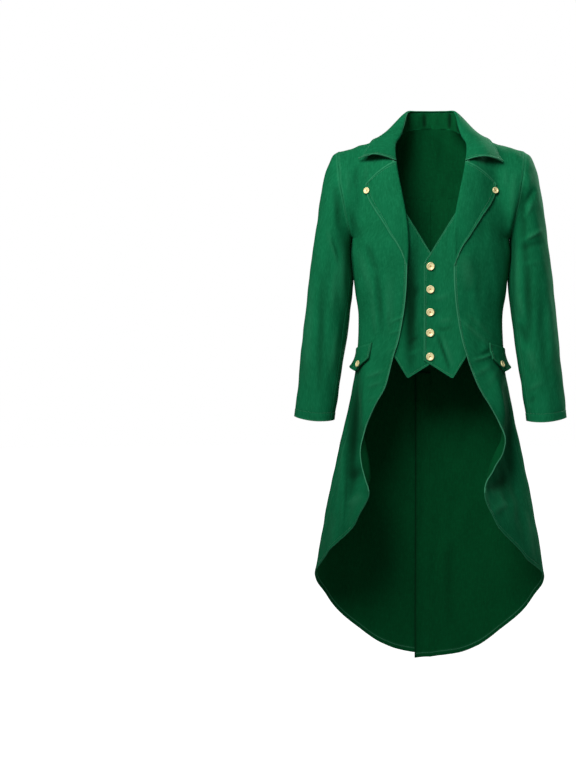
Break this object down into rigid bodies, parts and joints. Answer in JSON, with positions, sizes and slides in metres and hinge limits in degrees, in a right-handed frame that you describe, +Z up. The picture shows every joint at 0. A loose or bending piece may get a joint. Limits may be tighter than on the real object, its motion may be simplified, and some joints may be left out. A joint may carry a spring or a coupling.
{
  "type": "frock coat with a swallow tail, worn shape with no wearer",
  "caption": "Long cutaway coat with peaked lapels pinned back, a false waistcoat front, pocket flaps, a back half belt and a swallow tail.",
  "frame": {"origin": "midway between the two points where the shoulder seams meet the neck, where the wearer's shoulders hold the coat up", "axes": "+X to the wearer's left, +Y from the front to the back, +Z up, the length of the coat"},
  "size_m": [0.65, 0.352, 1.351],
  "materials": {
    "back_left": "matt",
    "back_right": "matt",
    "back_strap": "matt",
    "button_belt_left": "satin",
    "button_belt_right": "satin",
    "button_cuff_left_1": "satin",
    "button_cuff_left_2": "satin",
    "button_cuff_left_3": "satin",
    "button_cuff_right_1": "satin",
    "button_cuff_right_2": "satin",
    "button_cuff_right_3": "satin",
    "button_flap_left": "satin",
    "button_flap_right": "satin",
    "button_front_1": "satin",
    "button_front_2": "satin",
    "button_front_3": "satin",
    "button_front_4": "satin",
    "button_front_5": "satin",
    "button_lapel_left": "satin",
    "button_lapel_right": "satin",
    "collar_fall": "matt",
    "collar_stand": "matt",
    "cuff_placket_left": "matt",
    "cuff_placket_right": "matt",
    "front_left": "matt",
    "front_right": "matt",
    "lapel_left": "matt",
    "lapel_right": "matt",
    "pocket_flap_left": "matt",
    "pocket_flap_right": "matt",
    "sleeve_top_left": "matt",
    "sleeve_top_right": "matt",
    "sleeve_under_left": "matt",
    "sleeve_under_right": "matt",
    "vent_underlap": "matt",
    "vest_front_left": "matt",
    "vest_front_right": "matt",
    "yoke": "matt"
  },
  "bodies": {
    "root": {"back_left": "back_left", "back_right": "back_right", "back_strap": "back_strap", "button_belt_left": "button_belt_left", "button_belt_right": "button_belt_right", "button_cuff_left_1": "button_cuff_left_1", "button_cuff_left_2": "button_cuff_left_2", "button_cuff_left_3": "button_cuff_left_3", "button_cuff_right_1": "button_cuff_right_1", "button_cuff_right_2": "button_cuff_right_2", "button_cuff_right_3": "button_cuff_right_3", "button_flap_left": "button_flap_left", "button_flap_right": "button_flap_right", "button_front_1": "button_front_1", "button_front_2": "button_front_2", "button_front_3": "button_front_3", "button_front_4": "button_front_4", "button_front_5": "button_front_5", "button_lapel_left": "button_lapel_left", "button_lapel_right": "button_lapel_right", "collar_fall": "collar_fall", "collar_stand": "collar_stand", "cuff_placket_left": "cuff_placket_left", "cuff_placket_right": "cuff_placket_right", "front_left": "front_left", "front_right": "front_right", "lapel_left": "lapel_left", "lapel_right": "lapel_right", "pocket_flap_left": "pocket_flap_left", "pocket_flap_right": "pocket_flap_right", "sleeve_top_left": "sleeve_top_left", "sleeve_top_right": "sleeve_top_right", "sleeve_under_left": "sleeve_under_left", "sleeve_under_right": "sleeve_under_right", "vent_underlap": "vent_underlap", "vest_front_left": "vest_front_left", "vest_front_right": "vest_front_right", "yoke": "yoke"}
  },
  "joints": []
}
